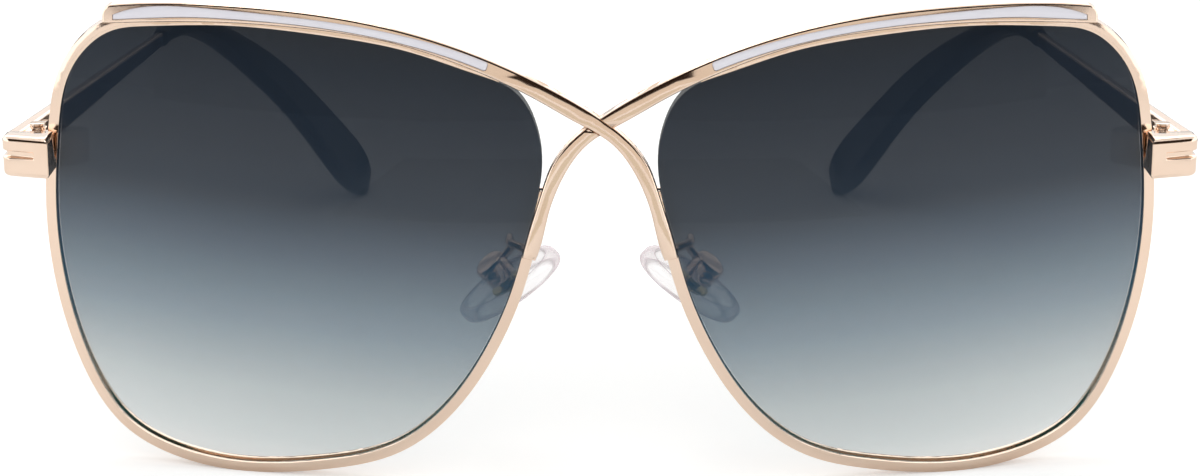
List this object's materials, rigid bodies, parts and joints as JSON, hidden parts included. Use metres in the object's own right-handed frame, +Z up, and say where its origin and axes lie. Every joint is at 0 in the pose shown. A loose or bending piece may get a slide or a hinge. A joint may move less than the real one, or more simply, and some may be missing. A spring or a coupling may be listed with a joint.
{
  "type": "sunglasses",
  "caption": "Butterfly sunglasses with crossing brow strips, tinted lenses, folding temples and rocking nose pads.",
  "frame": {"origin": "middle of the footprint of the open glasses, on the surface they stand on", "axes": "+X to the wearer's left, across the front; +Y backwards from the lenses to the temple tips; +Z up"},
  "size_m": [0.1442, 0.1366, 0.0601],
  "materials": {
    "tinted_lens": "smooth tinted optical plastic",
    "gold_metal": "polished pale gold plating",
    "pale_enamel": "glossy cold enamel",
    "dark_tip": "polished dark acetate",
    "clear_pad": "clear moulded pad plastic",
    "pad_insert_metal": "stamped metal",
    "screw_steel": "turned steel"
  },
  "bodies": {
    "front": {"lens_right": "tinted_lens", "lens_left": "tinted_lens", "eyewire_upper_right": "gold_metal", "eyewire_upper_left": "gold_metal", "eyewire_lower_right": "gold_metal", "eyewire_lower_left": "gold_metal", "brow_strip_over": "gold_metal", "brow_strip_under": "gold_metal", "enamel_inlay_right": "pale_enamel", "enamel_inlay_left": "pale_enamel", "end_piece_right": "gold_metal", "end_piece_left": "gold_metal", "rim_lock_upper_right": "gold_metal", "rim_lock_upper_left": "gold_metal", "rim_lock_lower_right": "gold_metal", "rim_lock_lower_left": "gold_metal", "rim_lock_screw_right": "screw_steel", "rim_lock_screw_left": "screw_steel", "hinge_front_right": "gold_metal", "hinge_front_left": "gold_metal", "hinge_screw_right": "screw_steel", "hinge_screw_left": "screw_steel", "pad_box_right": "gold_metal", "pad_box_left": "gold_metal", "pad_screw_right": "screw_steel", "pad_screw_left": "screw_steel", "pad_arm_right": "gold_metal", "pad_arm_left": "gold_metal"},
    "temple_right": {"temple_bar_right": "gold_metal", "temple_tip_right": "dark_tip", "hinge_temple_right": "gold_metal"},
    "temple_left": {"temple_bar_left": "gold_metal", "temple_tip_left": "dark_tip", "hinge_temple_left": "gold_metal"},
    "pad_right": {"nose_pad_right": "clear_pad", "pad_insert_right": "pad_insert_metal"},
    "pad_left": {"nose_pad_left": "clear_pad", "pad_insert_left": "pad_insert_metal"}
  },
  "joints": [
    {"name": "temple_fold_right", "type": "hinge", "parent": "front", "child": "temple_right", "pos_m": [-0.0688, -0.05362, 0.04067], "axis": [0, 0.0309, 0.9995], "range_deg": [-74, 0]},
    {"name": "temple_fold_left", "type": "hinge", "parent": "front", "child": "temple_left", "pos_m": [0.0688, -0.05362, 0.04067], "axis": [0, 0.0309, 0.9995], "range_deg": [0, 62]},
    {"name": "pad_rock_right", "type": "hinge", "parent": "front", "child": "pad_right", "pos_m": [-0.01297, -0.05767, 0.02597], "axis": [-0.0348, -0.9498, -0.3108], "range_deg": [-8, 8]},
    {"name": "pad_rock_left", "type": "hinge", "parent": "front", "child": "pad_left", "pos_m": [0.01297, -0.05767, 0.02597], "axis": [0.0348, -0.9498, -0.3108], "range_deg": [-8, 8]}
  ]
}
